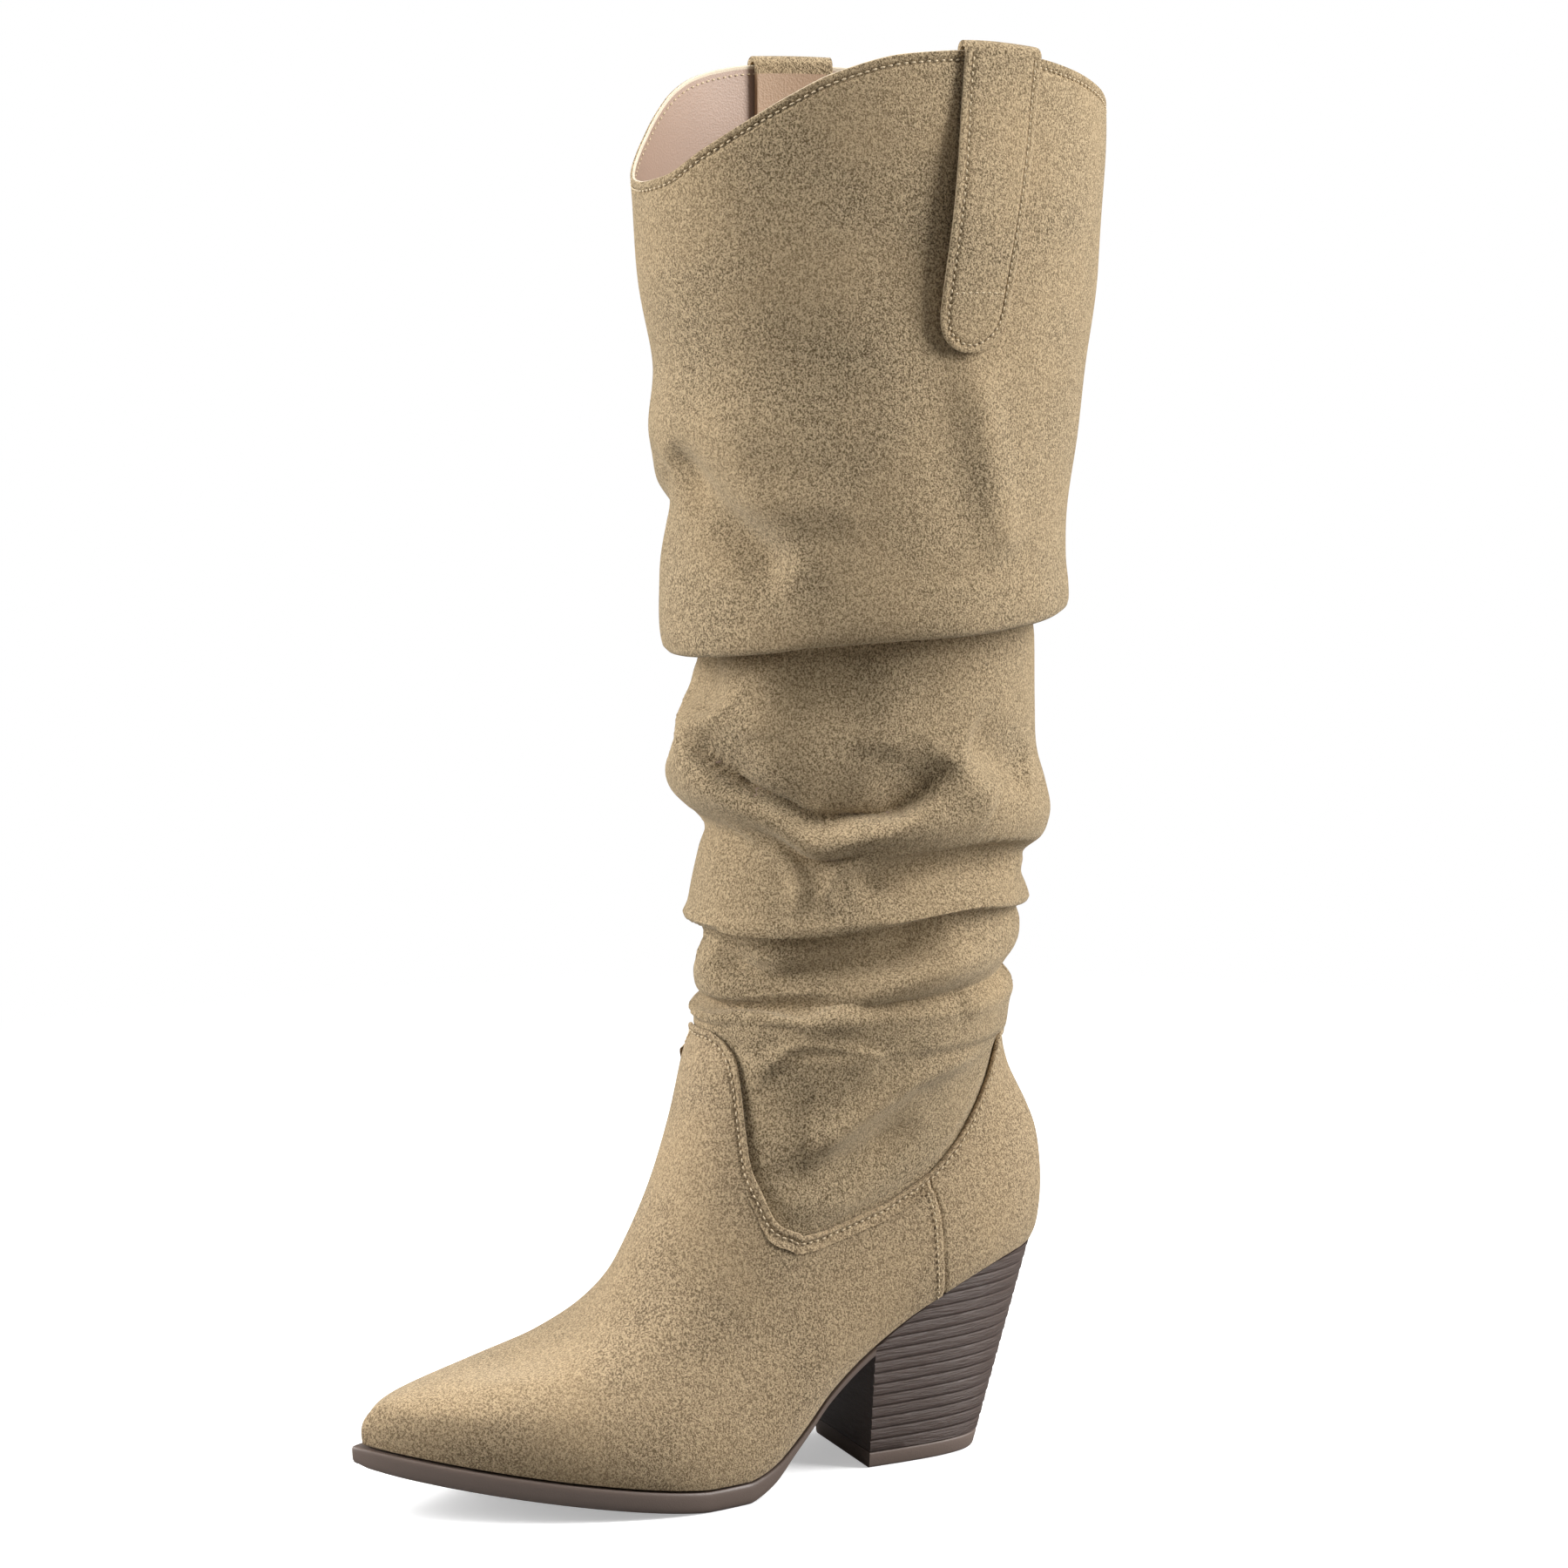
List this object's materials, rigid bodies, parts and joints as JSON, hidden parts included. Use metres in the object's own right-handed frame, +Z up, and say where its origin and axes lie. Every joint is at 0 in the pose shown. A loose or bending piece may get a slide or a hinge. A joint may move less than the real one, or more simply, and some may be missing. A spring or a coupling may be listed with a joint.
{
  "type": "slouch boot",
  "caption": "Pull-on slouch boot with a pointed toe, a wide folded leg, a collar high at the sides, pull straps and a tapered stacked block heel.",
  "frame": {"origin": "middle of the heel's face on the floor", "axes": "+X to the toe, +Y to the shoe's outer side, +Z up along the leg"},
  "size_m": [0.2605, 0.1242, 0.4658],
  "materials": {
    "suede": "matte napped suede",
    "sole_rubber": "satin",
    "heel_stack": "fine grained, with horizontal grooves",
    "lining": "smooth satin"
  },
  "bodies": {
    "root": {"outsole": "sole_rubber", "heel_block": "heel_stack", "top_piece": "sole_rubber", "insole": "lining", "upper": "suede", "shaft": "suede", "pull_strap_outer": "suede", "pull_strap_inner": "suede"}
  },
  "joints": []
}
